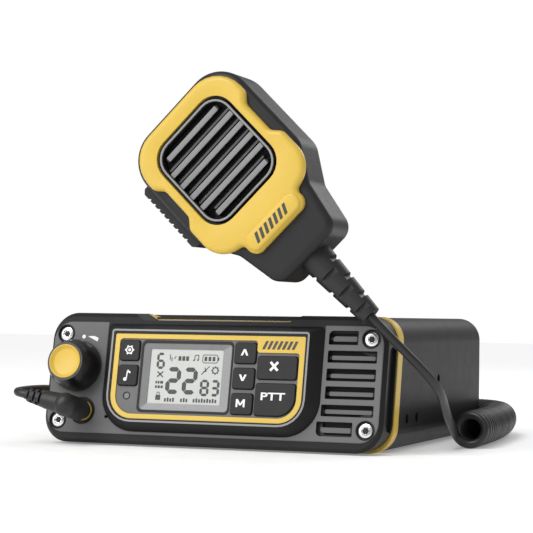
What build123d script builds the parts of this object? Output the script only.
from build123d import *
import math
import os

# Two way radio: a compact mobile transceiver with a hand microphone on a curly cord.
# Millimetres.  +Z is up, +Y is the rear, +X is the operator's right.  The origin is the middle of the
# flat base.  The face leans back, so pieces on it are placed in face coordinates: x across, u up along
# the face, h outward from it.  The microphone has its own coordinates: x across, y towards its top,
# h outward from its grille.

os.makedirs("parts", exist_ok=True)

# ------------------------------------------------------------------ driving sizes: the radio
CASE_HALF_WIDTH = 74.6
CASE_TOP = 54.5
CASE_CORNER = 10.0
CASE_WALL = 1.6
FOOT_Y = -80.0          # the line where the leaning face would meet the table
REAR_Y = 77.0           # rear end of the case sleeve
LEAN = 11.0             # the face leans back by this many degrees
BEZEL_DEPTH = 14.0
RING_DEPTH = 6.0
BEZEL_WALL = 2.5
SEAM_Z = 7.5            # the cover meets the tray here
GAP = 0.1               # between fixed pieces that drop into each other
KEY_GAP = 0.25          # round a key in its opening

PLATE_BACK = -1.2       # the face plate sits in a pocket and stands a little proud
PLATE_FRONT = 0.4
PLATE_HALF_WIDTH = 73.3
PLATE_BOTTOM = 4.9
PLATE_TOP = 52.3
SCREW_X = 67.9
SCREW_LOW = 10.15
SCREW_HIGH = 46.9
SCREW_HEAD_R = 3.0
SCREW_RECESS_R = 3.9

# the raised console between the two halves of the face plate: half width, bottom, top,
# radius of the lower corners, radius of the upper corners
CONSOLE_BASE = (48.0, 6.5, 51.6, 15.0, 2.0)
CONSOLE_RIM = (43.7, 9.6, 48.3, 11.3, 1.2)
TRIM_OUTER = (42.15, 10.95, 46.55, 10.0, 0.8)
TRIM_INNER = (39.9, 13.0, 44.5, 8.0, 1.5)
CONSOLE_RISE = 5.8
TRIM_FRONT = 5.5
DECK_BACK = 3.6
DECK_FRONT = 5.0
KEY_FRONT = 6.0
BOARD_FRONT = -3.0
BOARD_THICKNESS = 1.6
LABEL_BLOCK = (21.6, 41.0, 39.6, 45.5)
LABEL_CORNER = 1.2

# name: left, right, bottom, top of each key, in face coordinates
KEYS = {
    "menu_key": (-39.4, -30.6, 35.2, 43.6),
    "tone_key": (-39.4, -30.6, 24.7, 33.2),
    "up_key": (11.9, 21.3, 35.0, 43.5),
    "down_key": (11.9, 21.3, 24.6, 33.1),
    "mode_key": (11.9, 21.3, 14.2, 22.7),
    "exit_key": (22.2, 39.3, 28.8, 38.2),
    "transmit_key": (22.2, 39.3, 14.0, 27.1),
}
KEY_CORNER = 1.3
TRANSMIT_CORNER = 7.4       # the lower right corner of the transmit key follows the console's corner
GASKET = (-29.9, 11.2, 13.9, 43.9)
WINDOW = (-28.9, 10.5, 14.9, 42.7)
LED_AT = (-34.9, 20.5)

KNOB_AT = (-60.8, 33.0)
KNOB_BASE_R = 10.9
KNOB_FRONT_R = 8.0
KNOB_BACK = 0.9
KNOB_FRONT = 13.0
KNOB_CAP_R = 7.1
SHAFT_R = 3.0
SHAFT_CLEARANCE = 0.05

SOCKET_AT = (-56.8, 14.3)
SOCKET_R = 5.7
PLUG_NOSE_R = 3.35
PLUG_PIN_R = 1.75
PLUG_BODY_R = 4.75
PLUG_ELBOW = 16.5        # from the face to the middle of the elbow
PLUG_ARM_TILT = 11.5     # the plug's arm rises by this angle
PLUG_ARM_LENGTH = 9.0
PLUG_BOOT_END = 18.3

GRILLE_LEFT = 50.0
GRILLE_RIGHT = 70.8
GRILLE_SLOTS = [(7.3, 13.2), (15.3, 20.1), (22.3, 27.5), (29.6, 34.7), (37.0, 42.0), (44.3, 50.1)]
GRILLE_LOW_LEFT = 47.3   # the lowest opening reaches further towards the console
RIB_HEIGHT = 1.2

BRACKET_HOLE_R = 2.05
BRACKET_HOLES = [(-43.2, 13.2), (-28.9, 13.2), (4.8, 28.3)]

ANTENNA_AT = (48.0, 32.0)
POWER_AT = (-46.0, 28.0)
JACK_AT = (0.0, 24.0)
SINK_Y = 68.0

# ------------------------------------------------------------------ driving sizes: the microphone
MIC_CENTRE = (17.5, -80.0, 108.0)
MIC_BACK = -14.0
MIC_FRONT = 11.0
MIC_WALL = 2.0
BEZEL_RISE = 3.0
# right-hand corners of the shell, bottom to top
MIC_SHELL = [(16.6, -42.0), (20.6, -21.0), (29.6, -6.5), (29.6, 43.0)]
MIC_SHELL_CORNERS = [6.5, 6.0, 9.0, 15.0]
MIC_BEZEL = [(15.4, -27.5), (15.4, -20.8), (27.7, -17.2), (27.7, 1.2), (24.4, 4.6), (24.4, 19.4),
             (27.7, 22.8), (27.7, 41.0)]
MIC_BEZEL_CORNERS = [3.0, 1.5, 11.0, 1.2, 1.2, 1.2, 1.2, 14.0]
MIC_GRILLE = (-19.8, 19.8, -8.6, 33.4)
MIC_BAR_PITCH = 6.15
MIC_BAR_WIDTH = 2.4
TALK_KEY_X = -33.4
TALK_KEY = (-4.5, 29.0)      # its lower and upper ends
TALK_KEY_HALF_DEPTH = 6.5
BOOT_TOP = -42.0
BOOT_END = -74.5
BOOT_TOP_R = 7.0
BOOT_END_R = 4.3

# ------------------------------------------------------------------ driving sizes: the cord
CORD_R = 1.8
COIL_R = 7.9
# from the microphone's boot down to the near end of the coil
UPPER_ROUTE = [(70.28, -80.0, 55.16), (77.0, -80.0, 48.44), (94.5, -68.0, 28.4), (92.4, -52.0, 21.3),
               (90.4, -38.0, 14.2), (89.3, -27.0, 9.9), (88.9, -18.0, 8.2)]
# along the right side of the case, then round behind it
COIL_ROUTE = [(94.4, -18.0, 7.9), (92.8, 24.0, 7.9), (87.6, 64.0, 7.9), (82.6, 86.0, 7.9),
              (66.0, 103.0, 7.9), (45.0, 107.0, 7.9), (10.0, 106.5, 7.9)]
# from the plug's boot back past the left side of the case, then behind it to the far end of the coil
LEAD_ROUTE = [(-74.9, -92.8, 20.8), (-78.4, -92.8, 21.5), (-81.0, -90.2, 21.8), (-81.2, -85.5, 22.0),
              (-81.4, -76.0, 22.2), (-81.8, -58.0, 21.9), (-82.8, -36.0, 18.5), (-84.5, -14.0, 12.0),
              (-86.5, 8.0, 5.8), (-88.0, 32.0, 2.3), (-87.0, 60.0, 1.9), (-82.5, 84.0, 1.9),
              (-70.0, 101.0, 1.9), (-50.0, 108.0, 1.9), (-28.0, 108.3, 1.9), (-8.0, 107.0, 1.9),
              (10.0, 106.5, 1.9)]

FACE = Plane(
    origin=(0, FOOT_Y, 0),
    x_dir=(1, 0, 0),
    z_dir=(0, -math.cos(math.radians(LEAN)), math.sin(math.radians(LEAN))),
)
MIC = Plane(origin=MIC_CENTRE, x_dir=(1, 0, 1), z_dir=(0, -1, 0))


# ------------------------------------------------------------------ helpers
def rounded(left, right, bottom, top, radius):
    """A flat rectangle with rounded corners, given by its edges."""
    return Pos((left + right) / 2, (bottom + top) / 2) * RectangleRounded(right - left, top - bottom, radius)


def mirrored_outline(right_points, radii):
    """A closed outline from its right-hand corners, bottom to top, with a radius for each corner."""
    left_points = [(-x, y) for x, y in reversed(right_points)]
    outline = Polygon(*(right_points + left_points), align=None)
    for (x, y), radius in zip(right_points, radii):
        if radius > 0:
            corners = [v for v in outline.vertices() if abs(abs(v.X) - x) < 0.01 and abs(v.Y - y) < 0.01]
            outline = fillet(corners, radius)
    return outline


def on_face(sketch, back, front):
    """Extrude a sketch drawn in face coordinates from height back to height front."""
    return FACE * Pos(0, 0, back) * extrude(sketch, amount=front - back)


def face_disc(centre, radius, back, front):
    return FACE * Pos(centre[0], centre[1], (back + front) / 2) * Cylinder(radius, front - back)


def face_box(left, right, bottom, top, back, front):
    return FACE * Pos((left + right) / 2, (bottom + top) / 2, (back + front) / 2) * Box(
        right - left, top - bottom, front - back)


def behind_face(front_depth, back_depth):
    """All the space between two planes parallel to the face, at these depths behind it."""
    return face_box(-200, 200, -200, 200, -back_depth, -front_depth)


def along_y(sketch, front_y, rear_y):
    """Extrude a sketch of x and z from front_y to rear_y."""
    upright = Plane(origin=(0, rear_y, 0), x_dir=(1, 0, 0), z_dir=(0, -1, 0))
    return upright * extrude(sketch, amount=rear_y - front_y)


def case_outline(inset):
    """The section of the case, looking along it."""
    half = CASE_HALF_WIDTH - inset
    return rounded(-half, half, inset, CASE_TOP - inset, CASE_CORNER - inset)


def on_mic(sketch, back, front):
    return MIC * Pos(0, 0, back) * extrude(sketch, amount=front - back)


def mic_box(left, right, bottom, top, back, front):
    return MIC * Pos((left + right) / 2, (bottom + top) / 2, (back + front) / 2) * Box(
        right - left, top - bottom, front - back)


def mic_disc(x, y, radius, back, front):
    return MIC * Pos(x, y, (back + front) / 2) * Cylinder(radius, front - back)


def group(solids):
    """Separate identical pieces that share one node."""
    return Compound(children=list(solids))


def screw_places():
    return [(side * SCREW_X, u) for side in (-1, 1) for u in (SCREW_LOW, SCREW_HIGH)]


# ------------------------------------------------------------------ the case
def case_sleeve(bottom, top):
    """The thin wall of the case between two heights, from the accent ring to the rear."""
    wall = along_y(case_outline(0), FOOT_Y - 5, REAR_Y) - along_y(case_outline(CASE_WALL), FOOT_Y - 6, REAR_Y + 1)
    wall = wall & behind_face(BEZEL_DEPTH + RING_DEPTH, 400)
    band = Pos(0, 0, (bottom + top) / 2) * Box(400, 400, top - bottom)
    return wall & band


def top_cover():
    cover = case_sleeve(SEAM_Z + GAP / 2, 100)
    for y, z in BRACKET_HOLES:
        cover -= Pos(0, y, z) * Rot(0, 90, 0) * Cylinder(BRACKET_HOLE_R, 200)
    return cover


def bottom_tray():
    return case_sleeve(-10, SEAM_Z - GAP / 2)


def accent_ring():
    """The coloured band between the bezel and the case; it is also the front foot."""
    corners = [(46.0, 1.0), (49.5, 0.0), (75.2, 0.0), (75.2, 55.0), (39.0, 55.0), (33.2, 53.5)]
    outline = mirrored_outline(corners, [0, 0, CASE_CORNER, CASE_CORNER, 0, 0])
    band = along_y(outline, FOOT_Y - 5, FOOT_Y + 60)
    band -= along_y(case_outline(3.0), FOOT_Y - 6, FOOT_Y + 61)
    return band & behind_face(BEZEL_DEPTH, BEZEL_DEPTH + RING_DEPTH)


def bezel_outline(inset=0.0):
    """Section of the bezel, looking along the case."""
    half = 74.8 - inset
    return rounded(-half, half, 0.8 + inset, 55.0 - inset, CASE_CORNER + 1.2 - inset)


def bezel_edge_cuts():
    """The dip along the bezel's top edge and the step along its bottom edge."""
    dip = Polygon((-39.0, 56.0), (-32.2, 52.2), (32.2, 52.2), (39.0, 56.0), align=None)
    step = Polygon((-49.0, 0.0), (-45.0, 2.0), (45.0, 2.0), (49.0, 0.0), align=None)
    return along_y(dip, FOOT_Y - 5, FOOT_Y + 50) + along_y(step, FOOT_Y - 5, FOOT_Y + 50)


def front_bezel():
    """The black moulding that carries everything on the face."""
    bezel = along_y(bezel_outline(), FOOT_Y - 5, FOOT_Y + 50) & behind_face(0, BEZEL_DEPTH)
    front = bezel.faces().sort_by(Axis((0, 0, 0), FACE.z_dir))[-1]
    bezel = chamfer(front.outer_wire().edges(), 1.6)
    bezel -= bezel_edge_cuts()
    cavity = along_y(bezel_outline(3.2), FOOT_Y - 6, FOOT_Y + 51) & behind_face(BEZEL_WALL, 60)
    bezel -= cavity
    for side in (-1, 1):
        scoop = FACE * Pos(side * 76.2, 28.0, -7.9) * Box(6.0, 34.0, 9.0)
        scoop_front = scoop.edges().filter_by(Axis.X).group_by(Axis((0, 0, 0), FACE.z_dir))[-1]
        bezel -= chamfer(scoop_front, 2.5)
    for centre in screw_places():
        bezel += face_disc(centre, 4.5, -BEZEL_DEPTH, -BEZEL_WALL + 0.2) & along_y(
            bezel_outline(), FOOT_Y - 5, FOOT_Y + 50)
    bezel -= on_face(plate_outline(0.0), PLATE_BACK, 3.0)
    bezel -= on_face(offset(console_outline(CONSOLE_BASE), -2.0), -6.0, 3.0)
    bezel -= on_face(speaker_opening(0.0), -6.0, 3.0)
    bezel -= face_disc(KNOB_AT, 4.0, -6.0, 3.0)
    bezel -= face_disc(SOCKET_AT, SOCKET_R + GAP, -6.0, 3.0)
    for centre in screw_places():
        bezel -= face_disc(centre, SCREW_RECESS_R, -3.0, 3.0)
        bezel -= face_disc(centre, 1.55, -BEZEL_DEPTH - 1, 0)
    return bezel


def heat_sink():
    """The rear of the chassis: a plate inside the end of the sleeve, with upright fins."""
    sink = along_y(case_outline(CASE_WALL + GAP), SINK_Y, SINK_Y + 3.0)
    fin_pitch = 7.0
    for i in range(-8, 9):
        x = i * fin_pitch
        near_connector = min(abs(x - ANTENNA_AT[0]) - 15.0, abs(x - POWER_AT[0]) - 12.5, abs(x - JACK_AT[0]) - 7.0)
        if near_connector > 0:
            sink += Pos(x, SINK_Y + 5.4, CASE_TOP / 2) * Box(1.8, 5.0, 42.0)
    sink -= Pos(ANTENNA_AT[0], SINK_Y, ANTENNA_AT[1]) * Rot(90, 0, 0) * Cylinder(5.6, 20)
    sink -= Pos(JACK_AT[0], SINK_Y, JACK_AT[1]) * Rot(90, 0, 0) * Cylinder(3.1, 20)
    sink -= Pos(POWER_AT[0], SINK_Y, POWER_AT[1]) * Box(18.2, 20, 12.2)
    for x, z in rear_screw_places():
        sink -= Pos(x, SINK_Y, z) * Rot(90, 0, 0) * Cylinder(1.6, 20)
    return sink


def rear_screw_places():
    return [(side * 66.0, z) for side in (-1, 1) for z in (11.0, 44.0)]


def antenna_socket():
    """A UHF coaxial socket: a square flange and a barrel."""
    x, z = ANTENNA_AT
    flange = Pos(x, SINK_Y + 4.0, z) * Box(25.4, 2.0, 25.4)
    barrel = Pos(x, SINK_Y + 10.5, z) * Rot(90, 0, 0) * Cylinder(7.9, 13.0)
    tail = Pos(x, SINK_Y + 0.5, z) * Rot(90, 0, 0) * Cylinder(5.5, 5.0)
    bore = Pos(x, SINK_Y + 11.0, z) * Rot(90, 0, 0) * Cylinder(6.3, 13.0)
    return flange + barrel + tail - bore


def antenna_insulator():
    x, z = ANTENNA_AT
    plug = Pos(x, SINK_Y + 9.5, z) * Rot(90, 0, 0) * Cylinder(6.2, 9.0)
    hole = Pos(x, SINK_Y + 12.0, z) * Rot(90, 0, 0) * Cylinder(2.0, 10.0)
    return plug - hole


def power_inlet():
    """The flush two-pole power inlet, with its lead left off."""
    x, z = POWER_AT
    shell = Pos(x, SINK_Y + 1.0, z) * Box(18.0, 12.0, 12.0)
    mouth = Pos(x, SINK_Y + 4.0, z) * Box(15.0, 8.0, 9.0)
    shell -= mouth
    for side in (-1, 1):
        shell += Pos(x + side * 3.6, SINK_Y + 1.8, z) * Box(1.2, 5.0, 5.0)
    return shell


def speaker_jack():
    x, z = JACK_AT
    barrel = Pos(x, SINK_Y - 2.5, z) * Rot(90, 0, 0) * Cylinder(3.0, 13.0)
    nut = Pos(x, SINK_Y + 4.0, z) * Rot(90, 0, 0) * Cylinder(4.6, 2.0)
    bore = Pos(x, SINK_Y - 1.0, z) * Rot(90, 0, 0) * Cylinder(1.8, 12.5)
    return barrel + nut - bore


def bracket_nuts():
    """Threaded bushes inside the side walls, where the mounting bracket's screws go."""
    nuts = []
    for side in (-1, 1):
        for y, z in BRACKET_HOLES:
            x = side * (CASE_HALF_WIDTH - CASE_WALL - 2.5)
            bush = Pos(x, y, z) * Rot(0, 90, 0) * Cylinder(3.4, 5.0)
            nuts.append(bush - Pos(x, y, z) * Rot(0, 90, 0) * Cylinder(BRACKET_HOLE_R, 6.0))
    return group(nuts)


def chassis_frame():
    """The die-cast floor that the boards stand on."""
    frame = Pos(0, 5.0, 3.6) * Box(130.0, 116.0, 2.0)
    for side in (-1, 1):
        frame += Pos(side * 64.0, 5.0, 6.5) * Box(2.0, 116.0, 4.0)
        for y in (-38.0, 50.0):
            frame += Pos(side * 54.0, y, 6.8) * Cylinder(3.0, 4.6)
    frame += Pos(0, 62.0, 8.0) * Box(100.0, 2.0, 9.0)
    return frame


def main_board():
    board = Pos(0, 5.0, 9.9) * Box(120.0, 104.0, 1.6)
    for x, y, width, depth, height in ((-40, -30, 14, 14, 2), (-18, -34, 8, 10, 2), (30, -32, 20, 12, 6),
                                       (46, 2, 12, 12, 11), (46, 20, 12, 12, 11), (-44, 4, 16, 22, 8),
                                       (0, 50, 46, 10, 8)):
        board += Pos(x, y, 10.7 + height / 2) * Box(width, depth, height)
    return board


def rf_shield():
    """The screening can over the transmitter."""
    can = Pos(0, 14.0, 16.7) * Box(60.0, 56.0, 12.0)
    return can - Pos(0, 14.0, 16.2) * Box(59.0, 55.0, 12.0)


# ------------------------------------------------------------------ the face
def console_outline(sizes):
    half, bottom, top, lower_radius, upper_radius = sizes
    return mirrored_outline([(half, bottom), (half, top)], [lower_radius, upper_radius])


def plate_outline(inset):
    """Both halves of the face plate and the strip that joins them below the console."""
    outer = rounded(-PLATE_HALF_WIDTH + inset, PLATE_HALF_WIDTH - inset, PLATE_BOTTOM + inset,
                    PLATE_TOP - inset, 8.0)
    half, bottom, _, lower_radius, _ = CONSOLE_BASE
    grow = GAP + inset
    return outer - mirrored_outline([(half + grow, bottom - grow), (half + grow, 60.0)], [lower_radius + grow, 0])


def slot_outline(index):
    """One opening between the wide bars of the grille; the end slots make room for the screws."""
    bottom, top = GRILLE_SLOTS[index]
    lowest = index == 0
    highest = index == len(GRILLE_SLOTS) - 1
    right = GRILLE_RIGHT
    if lowest or highest:
        right = 62.5
    left = GRILLE_LEFT
    if index <= 1:
        left = 48.8 - 0.6 * (1 - index)
    if lowest:
        left = GRILLE_LOW_LEFT
    slot = rounded(left, right, bottom, top, 0.6)
    if lowest:
        slot = slot - (Pos(left, bottom) * Rectangle(4.0, 4.0) - Pos(left + 2.0, bottom + 2.0) * Circle(2.0))
    if highest:
        slot = slot - (Pos(left, top) * Rectangle(4.0, 4.0) - Pos(left + 2.0, top - 2.0) * Circle(2.0))
    return slot


def face_plate():
    plate = on_face(plate_outline(GAP), PLATE_BACK, PLATE_FRONT)
    plate = chamfer(plate.faces().sort_by(Axis((0, 0, 0), FACE.z_dir))[-1].outer_wire().edges(), 0.25)
    for index in range(len(GRILLE_SLOTS)):
        plate -= on_face(slot_outline(index), PLATE_BACK - 1, PLATE_FRONT + 1)
    for centre in screw_places():
        plate -= face_disc(centre, SCREW_RECESS_R, -3.0, 3.0)
    plate -= face_disc(KNOB_AT, 4.0, -3.0, 3.0)
    plate -= face_disc(SOCKET_AT, SOCKET_R + GAP, -3.0, 3.0)
    plate -= face_disc((-45.6, 12.1), 0.8, -3.0, 3.0)
    return plate


def speaker_opening(inset):
    """The opening behind the grille, which stops short of the two screws."""
    opening = rounded(48.4 + inset, 71.2 - inset, 7.0 + inset, 50.4 - inset, 2.0)
    for u, away in ((SCREW_LOW, -10.0), (SCREW_HIGH, 10.0)):
        opening -= Pos(SCREW_X, u) * Circle(5.4 + inset)
        opening -= Pos(SCREW_X + 4.0, u + away / 2) * Rectangle(2 * (9.0 + inset), abs(away))
    return opening


def speaker_guard():
    """The recessed ribs seen between the wide bars of the grille."""
    window = speaker_opening(1.1) - Pos(0, 0) * Circle(0.1)
    frame = speaker_opening(GAP) - window
    for bottom, top in GRILLE_SLOTS:
        middle = (bottom + top) / 2 - 0.2
        frame += Pos(60, middle) * Rectangle(40, RIB_HEIGHT) & speaker_opening(GAP)
    return on_face(frame, -2.4, PLATE_BACK - GAP)


def speaker_mesh():
    return on_face(speaker_opening(-0.3), -2.9, -2.6)


def speaker_outline(inset):
    return rounded(49.6 + inset, 71.2 - inset, 15.4 + inset, 41.6 - inset, 9.0 - inset / 2)


def speaker_frame():
    """The front speaker's basket with its magnet."""
    basket = on_face(speaker_outline(0), -9.0, -3.0)
    basket -= on_face(speaker_outline(1.4), -8.0, -2.0)
    return basket + face_disc((60.4, 28.5), 8.0, -15.0, -9.0)


def speaker_cone():
    """The moving cone of the front speaker, as one thin dish."""
    rim = on_face(speaker_outline(1.6) - speaker_outline(3.6), -4.4, -3.6)
    dish = on_face(speaker_outline(3.6) - Pos(60.4, 28.5) * Circle(4.0), -4.4, -4.0)
    cap = face_disc((60.4, 28.5), 4.0, -7.6, -3.8)
    return rim + dish + cap


def case_screws():
    """Four socket screws in the corners of the face, and four more in the heat sink."""
    screws = []
    for centre in screw_places():
        head = face_disc(centre, SCREW_HEAD_R, -3.0, -0.3)
        head = chamfer(head.faces().sort_by(Axis((0, 0, 0), FACE.z_dir))[-1].edges(), 0.4)
        socket = FACE * Pos(centre[0], centre[1], -1.6) * extrude(RegularPolygon(1.45, 6), amount=2.0)
        screws.append(head + face_disc(centre, 1.5, -13.0, -3.0) - socket)
    for x, z in rear_screw_places():
        head = Pos(x, SINK_Y + 4.2, z) * Rot(90, 0, 0) * Cylinder(SCREW_HEAD_R, 2.4)
        shank = Pos(x, SINK_Y - 3.0, z) * Rot(90, 0, 0) * Cylinder(1.5, 12.0)
        socket = Pos(x, SINK_Y + 5.0, z) * Rot(90, 0, 0) * extrude(RegularPolygon(1.45, 6), amount=2.0, both=True)
        screws.append(head + shank - socket)
    return group(screws)


def console_frame():
    """The raised surround: sloping sides up to a flat rim, round a stepped opening."""
    base = FACE * console_outline(CONSOLE_BASE)
    rim = FACE * Pos(0, 0, CONSOLE_RISE) * console_outline(CONSOLE_RIM)
    surround = loft([base, rim])
    surround -= on_face(console_outline(TRIM_OUTER), DECK_BACK, CONSOLE_RISE + 1)
    surround -= on_face(offset(console_outline(TRIM_INNER), -0.25), -1, CONSOLE_RISE)
    return surround


def trim_opening():
    """The opening of the coloured frame, notched at top right by the label block."""
    left, right, bottom, top = LABEL_BLOCK
    block = Pos((left + right) / 2, (bottom + top) / 2) * Rectangle(right - left, top - bottom)
    opening = console_outline(TRIM_INNER) - block
    corners = [v for v in opening.vertices() if v.X > left - 0.1 and v.Y > bottom - 0.1]
    return fillet(corners, LABEL_CORNER)


def display_trim():
    """The coloured frame round the console, thickened at top right into a blank label block."""
    ring = offset(console_outline(TRIM_OUTER), -GAP) - trim_opening()
    return on_face(ring, DECK_BACK, TRIM_FRONT)


def key_outline(name, grow):
    left, right, bottom, top = KEYS[name]
    if name != "transmit_key":
        return rounded(left - grow, right + grow, bottom - grow, top + grow, KEY_CORNER)
    key = Pos((left + right) / 2, (bottom + top) / 2) * Rectangle(right - left + 2 * grow, top - bottom + 2 * grow)
    key = fillet(key.vertices().sort_by(lambda v: v.X - v.Y)[:-1], KEY_CORNER)
    return fillet(key.vertices().sort_by(lambda v: v.X - v.Y)[-1], TRANSMIT_CORNER + grow)


def key_deck():
    """The grey plate that the keys and the display come up through."""
    deck = on_face(offset(trim_opening(), -GAP), DECK_BACK, DECK_FRONT)
    for name in KEYS:
        deck -= on_face(key_outline(name, KEY_GAP), DECK_BACK - 1, DECK_FRONT + 1)
    deck -= on_face(rounded(*GASKET, 2.0), DECK_BACK - 1, DECK_FRONT + 1)
    deck -= face_disc(LED_AT, 1.5, DECK_BACK - 1, DECK_FRONT + 1)
    return deck


def key_cap(name):
    """A key: a cap through the deck, a flange that stops it coming out, and a foot over its switch."""
    left, right, bottom, top = KEYS[name]
    cap = on_face(key_outline(name, 0), 3.0, KEY_FRONT)
    cap = fillet(cap.faces().sort_by(Axis((0, 0, 0), FACE.z_dir))[-1].edges(), 0.35)
    flange_right = right - 2.4
    if name == "transmit_key":
        flange_right = right - TRANSMIT_CORNER - 2.5
    flange = face_box(left + 2.4, flange_right, bottom - 0.55, top + 0.55, 2.5, DECK_BACK - GAP)
    foot = face_disc(((left + right) / 2, (bottom + top) / 2), 1.5, 0.9, 2.8)
    return cap + flange + foot


def key_switches():
    switches = []
    for left, right, bottom, top in KEYS.values():
        centre = ((left + right) / 2, (bottom + top) / 2)
        body = face_box(centre[0] - 2.2, centre[0] + 2.2, centre[1] - 2.2, centre[1] + 2.2, BOARD_FRONT, -0.6)
        switches.append(body + face_disc(centre, 1.3, -0.7, 0.0))
    return group(switches)


def display_gasket():
    inset = 0.08
    left, right, bottom, top = GASKET
    outer = rounded(left + inset, right - inset, bottom + inset, top - inset, 2.0)
    return on_face(outer - rounded(*WINDOW, 1.6), 3.2, 5.25)


def display_window():
    left, right, bottom, top = WINDOW
    pane = rounded(left + 0.06, right - 0.06, bottom + 0.06, top - 0.06, 1.6)
    return on_face(pane, 4.0, 5.05)


def lcd_panel():
    return face_box(-26.8, 7.4, 16.6, 41.0, 1.4, 3.1)


def backlight():
    return face_box(-27.6, 8.2, 15.8, 41.8, BOARD_FRONT, 1.3)


def status_led():
    return face_disc(LED_AT, 1.35, BOARD_FRONT, 4.9)


def front_board():
    board = face_box(-70.0, 46.5, 6.0, 49.0, BOARD_FRONT - BOARD_THICKNESS, BOARD_FRONT)
    for centre in screw_places():
        board -= face_disc(centre, 5.2, -8.0, 0)
    board -= face_disc(SOCKET_AT, 6.2, -8.0, 0)
    x, u = KNOB_AT
    return board - face_box(x - 6.3, x + 6.3, u - 6.3, u + 6.3, -8.0, 0)


def volume_encoder():
    """The rotary control behind the knob: a body and a bushing through the face."""
    x, u = KNOB_AT
    body = face_box(x - 6.0, x + 6.0, u - 6.0, u + 6.0, -9.6, -2.6)
    body += face_disc(KNOB_AT, 3.8, -2.7, 1.4)
    return body - face_disc(KNOB_AT, SHAFT_R + SHAFT_CLEARANCE, -8.0, 2.0)


def encoder_shaft():
    return face_disc(KNOB_AT, SHAFT_R, -7.8, 10.0)


def turned(points, plane_shape):
    """A turned piece from its half section, given as radius and height pairs."""
    section = Plane.XZ * Polygon(*points, align=None)
    return plane_shape * revolve(section, Axis.Z)


def volume_knob():
    side = ThreePointArc((KNOB_BASE_R, 0, KNOB_BACK), (KNOB_BASE_R - 0.7, 0, 7.4), (KNOB_FRONT_R, 0, KNOB_FRONT))
    bottom = Line((0, 0, KNOB_BACK), (KNOB_BASE_R, 0, KNOB_BACK))
    top = Line((KNOB_FRONT_R, 0, KNOB_FRONT), (0, 0, KNOB_FRONT))
    back = Line((0, 0, KNOB_FRONT), (0, 0, KNOB_BACK))
    place = FACE * Pos(KNOB_AT[0], KNOB_AT[1], 0)
    knob = place * revolve(make_face([bottom, side, top, back]), Axis.Z)
    knob -= face_disc(KNOB_AT, 4.4, 0, 2.0)
    knob -= face_disc(KNOB_AT, SHAFT_R, 0, 10.2)
    knob -= face_disc(KNOB_AT, KNOB_CAP_R + 0.05, 12.0, 14.0)
    return knob


def knob_cap():
    profile = [(0, 12.0), (KNOB_CAP_R, 12.0), (KNOB_CAP_R, 13.1), (6.7, 13.5), (6.2, 13.5), (5.2, 12.8), (0, 12.6)]
    return turned(profile, FACE * Pos(KNOB_AT[0], KNOB_AT[1], 0))


# ------------------------------------------------------------------ the microphone socket and its plug
def mic_socket():
    socket = face_disc(SOCKET_AT, SOCKET_R, -20.0, 0.2)
    socket -= face_disc(SOCKET_AT, PLUG_NOSE_R + 0.1, -6.2, 1.0)
    socket -= face_disc(SOCKET_AT, 4.3, -1.1, 1.0)
    socket -= face_disc(SOCKET_AT, PLUG_PIN_R + 0.1, -19.0, -6.0)
    return socket


def socket_ring():
    return face_disc(SOCKET_AT, 4.2, -1.1, -0.1) - face_disc(SOCKET_AT, 3.55, -2.0, 1.0)


def plug_arm_place():
    """The start of the plug's side arm, with its axis along the arm."""
    return FACE * Pos(SOCKET_AT[0], SOCKET_AT[1], PLUG_ELBOW) * Rot(0, 0, -PLUG_ARM_TILT) * Rot(0, -90, 0)


def plug_body():
    """A right-angled plug: a nose in the socket, a round elbow and an arm to the side."""
    body = face_disc(SOCKET_AT, PLUG_BODY_R, 3.6, PLUG_ELBOW)
    body += face_disc(SOCKET_AT, PLUG_NOSE_R, -6.0, 3.8)
    body += face_disc(SOCKET_AT, PLUG_PIN_R, -18.5, -5.8)
    body += FACE * Pos(SOCKET_AT[0], SOCKET_AT[1], PLUG_ELBOW) * Sphere(PLUG_BODY_R + 0.2)
    body += plug_arm_place() * Pos(0, 0, PLUG_ARM_LENGTH / 2) * Cone(4.4, 3.8, PLUG_ARM_LENGTH)
    return body


def plug_boot():
    """The slotted strain relief on the plug's arm."""
    length = PLUG_BOOT_END - PLUG_ARM_LENGTH
    boot = Pos(0, 0, length / 2) * Cone(3.7, 2.7, length)
    for i in range(3):
        z = 1.6 + 2.9 * i
        for side in (-1, 1):
            boot -= Pos(side * 3.6, 0, z) * Box(3.2, 8.0, 1.1)
            boot -= Pos(0, side * 3.6, z + 1.45) * Box(8.0, 3.2, 1.1)
    return plug_arm_place() * Pos(0, 0, PLUG_ARM_LENGTH) * boot


# ------------------------------------------------------------------ the microphone
def mic_outline(inset=0.0):
    outline = mirrored_outline(MIC_SHELL, MIC_SHELL_CORNERS)
    return offset(outline, -inset) if inset else outline


def talk_key_pocket():
    return mic_box(-40.0, -24.6, TALK_KEY[0] - 1.0, TALK_KEY[1] + 1.4, -TALK_KEY_HALF_DEPTH - 0.6,
                   TALK_KEY_HALF_DEPTH + 0.6)


def mic_screw_places():
    return [(-22.0, 34.0), (22.0, 34.0), (-15.0, -31.0), (15.0, -31.0)]


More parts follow.
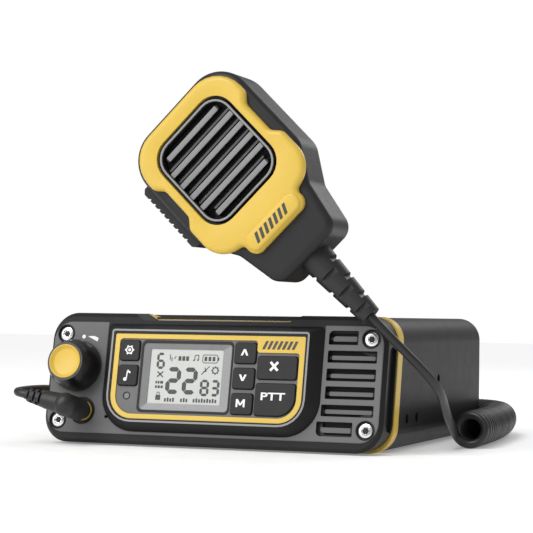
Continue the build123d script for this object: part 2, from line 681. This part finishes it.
def mic_rear_shell():
    shell = on_mic(mic_outline(), MIC_BACK, 0.0)
    back = shell.faces().sort_by(Axis.Y)[-1]
    shell = fillet(back.outer_wire().edges(), 4.0)
    shell -= on_mic(mic_outline(MIC_WALL), MIC_BACK + MIC_WALL, 1.0)
    for x, y in mic_screw_places():
        shell += mic_disc(x, y, 3.6, MIC_BACK + MIC_WALL - 0.2, 0.0) & on_mic(mic_outline(0.5), MIC_BACK + 1, 0)
        shell -= mic_disc(x, y, 1.6, MIC_BACK - 1, 1.0)
        shell -= mic_disc(x, y, 2.8, MIC_BACK - 1, MIC_BACK + 2.4)
    shell -= talk_key_pocket()
    shell -= mic_disc(0, 8.0, 2.1, MIC_BACK - 1, MIC_BACK + 3)
    return shell - boot_seat()


def mic_front_shell():
    shell = on_mic(mic_outline(), GAP, MIC_FRONT)
    front = shell.faces().sort_by(Axis.Y)[0]
    shell = fillet(front.outer_wire().edges(), 3.0)
    shell -= on_mic(mic_outline(MIC_WALL), -1.0, MIC_FRONT - MIC_WALL)
    left, right, bottom, top = MIC_GRILLE
    shell -= on_mic(rounded(left, right, bottom, top, 9.0), 0, MIC_FRONT + 1)
    shell -= talk_key_pocket()
    return shell - boot_seat()


def boot_seat():
    """The round hole in the lower end where the strain relief is clamped between the shells."""
    return MIC * Pos(0, -41.0, 0) * Rot(90, 0, 0) * Cylinder(5.05, 8.0)


def mic_bezel():
    """The coloured surround of the grille, with a blank tab below it."""
    outline = mirrored_outline(MIC_BEZEL, MIC_BEZEL_CORNERS)
    bezel = on_mic(outline, MIC_FRONT, MIC_FRONT + BEZEL_RISE)
    bezel = chamfer(bezel.faces().sort_by(Axis.Y)[0].outer_wire().edges(), 1.2)
    left, right, bottom, top = MIC_GRILLE
    opening = rounded(left + 1.0, right - 1.0, bottom + 1.0, top - 1.0, 8.4)
    return bezel - on_mic(opening, MIC_FRONT - 1, MIC_FRONT + BEZEL_RISE + 1)


def mic_grille():
    """Six bars across the opening, in a thin frame behind the coloured surround."""
    left, right, bottom, top = MIC_GRILLE
    outer = rounded(left + GAP, right - GAP, bottom + GAP, top - GAP, 8.9)
    frame = on_mic(outer, 8.0, MIC_FRONT - 0.05) - on_mic(rounded(left + 1.6, right - 1.6, bottom + 1.6, top - 1.6, 7.6),
                                                        7.0, MIC_FRONT + 1)
    middle = (bottom + top) / 2
    inside = on_mic(rounded(left + 1.2, right - 1.2, bottom + 1.2, top - 1.2, 8.0), 8.0, MIC_FRONT + 1.6)
    for i in range(6):
        y = middle + (i - 2.5) * MIC_BAR_PITCH
        bar = mic_box(left, right, y - MIC_BAR_WIDTH / 2, y + MIC_BAR_WIDTH / 2, 8.4, MIC_FRONT + 1.5)
        frame += bar & inside
        rib = mic_box(left, right, y + 2.3, y + 3.2, 8.0, 9.6)
        frame += rib & inside
    return frame


def mic_mesh():
    left, right, bottom, top = MIC_GRILLE
    return on_mic(rounded(left - 2.0, right + 2.0, bottom - 1.5, top + 1.5, 9.0), 7.3, 7.7)


def mic_speaker():
    centre = (MIC_GRILLE[2] + MIC_GRILLE[3]) / 2
    body = mic_disc(0, centre, 17.0, 4.6, 7.0)
    return body + mic_disc(0, centre, 9.0, -1.0, 4.8)


def mic_capsule():
    return mic_disc(0, -16.0, 3.0, 4.0, 8.6)


def mic_board():
    board = mic_box(-18.0, 18.0, -14.0, 30.0, -5.6, -4.0)
    board += mic_box(-11.0, 11.0, -32.0, -13.0, -5.6, -4.0)
    board += mic_box(-8.0, 8.0, 0.0, 14.0, -7.6, -5.5)
    return board


def mic_switch():
    """The microswitch under the talk key; its plunger meets the key at full travel."""
    return mic_box(-23.6, -17.0, 1.0, 11.0, -3.9, 2.6)


def mic_talk_key():
    """The ribbed bar on the side, hinged at its upper end."""
    low, high = TALK_KEY
    depth = TALK_KEY_HALF_DEPTH
    key = mic_box(TALK_KEY_X, -27.4, low, high, -depth, depth)
    key = chamfer(key.edges().filter_by(Axis.Y), 1.6)
    for i in range(9):
        y = low + 5.0 + 2.9 * i
        key -= mic_box(TALK_KEY_X - 1, TALK_KEY_X + 0.7, y, y + 1.3, -depth - 1, depth + 1)
    pin = MIC * Pos(-28.6, high - 1.6, 0) * Cylinder(0.9, 2 * depth + 0.8)
    return key + pin


def mic_hook_stud():
    """The turned button on the back that drops into a hang-up bracket."""
    profile = [(0, MIC_BACK + 2.0), (2.0, MIC_BACK + 2.0), (2.0, MIC_BACK), (3.2, MIC_BACK), (3.2, MIC_BACK - 4.0),
               (7.0, MIC_BACK - 4.6), (7.0, MIC_BACK - 6.4), (5.8, MIC_BACK - 7.4), (0, MIC_BACK - 7.4)]
    return turned(profile, MIC * Pos(0, 8.0, 0))


def mic_screws():
    screws = []
    for x, y in mic_screw_places():
        head = mic_disc(x, y, 2.6, MIC_BACK + 0.6, MIC_BACK + 2.4)
        cross = mic_box(x - 1.4, x + 1.4, y - 0.3, y + 0.3, MIC_BACK, MIC_BACK + 1.3)
        cross += mic_box(x - 0.3, x + 0.3, y - 1.4, y + 1.4, MIC_BACK, MIC_BACK + 1.3)
        screws.append(head + mic_disc(x, y, 1.5, MIC_BACK + 2.2, 0.0) - cross)
    return group(screws)


def mic_strain_relief():
    """A tapered boot, slotted by turns from the sides and from front and back."""
    length = BOOT_TOP - BOOT_END
    boot = Pos(0, 0, length / 2) * Cone(BOOT_TOP_R, BOOT_END_R, length)
    boot += Pos(0, 0, -1.5) * Cylinder(5.0, 5.0)
    for i in range(3):
        z = 6.0 + 9.2 * i
        radius = BOOT_TOP_R - (BOOT_TOP_R - BOOT_END_R) * z / length
        for side in (-1, 1):
            boot -= Pos(side * (radius + 0.4), 0, z) * Box(4.4, 20.0, 2.4)
            boot -= Pos(0, side * (radius + 0.4), z + 4.6) * Box(20.0, 4.4, 2.4)
    boot -= Pos(0, 0, length - 1.0) * Cylinder(0.9, 4.0)
    return MIC * Pos(0, BOOT_TOP, 0) * Rot(90, 0, 0) * boot


# ------------------------------------------------------------------ the cord
def route_radii(points):
    """The largest arc at each corner: 0.45 of the shorter run, over the tangent of half the turn."""
    radii = []
    for a, b, c in zip(points, points[1:], points[2:]):
        first = Vector(*b) - Vector(*a)
        second = Vector(*c) - Vector(*b)
        half_turn = math.radians(first.get_angle(second)) / 2
        radii.append(0.45 * min(first.length, second.length) / math.tan(half_turn))
    return radii


def tube(name, points, radius):
    """A round solid along straight runs joined by tangent arcs."""
    radii = route_radii(points)
    path = FilletPolyline(*points, radius=radii)
    section = Plane(origin=points[0], z_dir=path % 0) * Circle(radius)
    solid = sweep(section, path=path)
    expected = math.pi * radius ** 2 * path.length
    print(name, "arc radii", [round(r, 1) for r in radii])
    print(name, "length", round(path.length, 1), "volume over section times length", round(solid.volume / expected, 4))
    return solid


def cord_upper():
    return tube("cord_upper", UPPER_ROUTE, CORD_R)


def cord_coil():
    return tube("cord_coil", COIL_ROUTE, COIL_R)


def cord_lead():
    return tube("cord_lead", LEAD_ROUTE, CORD_R)


PIECES = [
    top_cover, bottom_tray, accent_ring, front_bezel, heat_sink, antenna_socket,
    antenna_insulator, power_inlet, speaker_jack, bracket_nuts, chassis_frame, main_board, rf_shield,
    face_plate, speaker_guard, speaker_mesh, speaker_frame, speaker_cone,
    case_screws, console_frame, display_trim, key_deck, key_switches, display_gasket, display_window,
    lcd_panel, backlight, status_led, front_board, volume_encoder, encoder_shaft, volume_knob, knob_cap,
    mic_socket, socket_ring, plug_body, plug_boot, mic_rear_shell, mic_front_shell, mic_bezel,
    mic_grille, mic_mesh, mic_speaker, mic_capsule, mic_board, mic_switch, mic_talk_key, mic_hook_stud,
    mic_screws, mic_strain_relief, cord_upper, cord_coil, cord_lead,
]

for make_piece in PIECES:
    export_step(make_piece(), f"parts/{make_piece.__name__}.step")

for key_name in KEYS:
    export_step(key_cap(key_name), f"parts/{key_name}.step")
